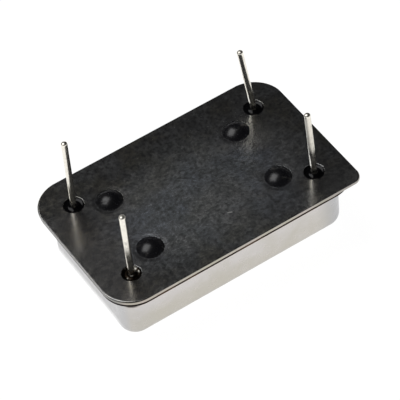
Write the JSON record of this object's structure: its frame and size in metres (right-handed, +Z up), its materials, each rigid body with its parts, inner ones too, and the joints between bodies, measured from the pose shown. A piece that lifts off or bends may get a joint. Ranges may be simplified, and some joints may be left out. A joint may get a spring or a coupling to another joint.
{
  "type": "crystal oscillator",
  "caption": "Rectangular hermetic metal can with a welded flange, dark base plate, black glass seals and stand-off beads, and round pins; gives a clock signal to a circuit.",
  "frame": {"origin": "middle of the cap's flat face, which the part lies on with its pins up", "axes": "+X along the can towards the pair of pins whose near corner of the base plate is square, +Y across the can away from that corner, +Z up along the pins"},
  "size_m": [0.0202, 0.0126, 0.0111],
  "materials": {
    "cap": "nickel-plated drawn sheet, satin, slightly mottled",
    "base": "nickel-plated pressed base, dark semi-gloss, faintly brushed",
    "pin": "bright nickel-plated wire",
    "braze": "bright silver braze",
    "sealing_glass": "glossy black sealing glass",
    "bead_glass": "glossy blue-black glass",
    "substrate": "matt white alumina",
    "film": "cured adhesive",
    "conductor": "printed and fired thick film",
    "solder": "satin solder",
    "silicon": "polished silicon",
    "resin": "glossy black resin",
    "capacitor": "fired barium titanate",
    "plated_end": "tin-plated",
    "quartz": "polished quartz",
    "electrode": "evaporated silver",
    "clip": "bright nickel strip",
    "bond": "silver-filled epoxy"
  },
  "bodies": {
    "root": {"cap": "cap", "base_plate": "base", "pin_1": "pin", "pin_7": "pin", "pin_8": "pin", "pin_14": "pin", "glass_seal_1": "sealing_glass", "glass_seal_8": "sealing_glass", "glass_seal_14": "sealing_glass", "ground_braze": "braze", "standoff_bead_1": "bead_glass", "standoff_bead_7": "bead_glass", "standoff_bead_8": "bead_glass", "standoff_bead_14": "bead_glass", "substrate": "substrate", "adhesive_film": "film", "conductor_tracks": "conductor", "solder_joint_1": "solder", "solder_joint_7": "solder", "solder_joint_8": "solder", "solder_joint_14": "solder", "oscillator_die": "silicon", "resin_dome": "resin", "bypass_capacitor": "capacitor", "bypass_capacitor_ends": "plated_end", "load_capacitor_a": "capacitor", "load_capacitor_a_ends": "plated_end", "load_capacitor_b": "capacitor", "load_capacitor_b_ends": "plated_end", "quartz_blank": "quartz", "electrode_upper": "electrode", "electrode_lower": "electrode", "crystal_clip_left": "clip", "crystal_clip_right": "clip", "crystal_bond_left": "bond", "crystal_bond_right": "bond"}
  },
  "joints": []
}
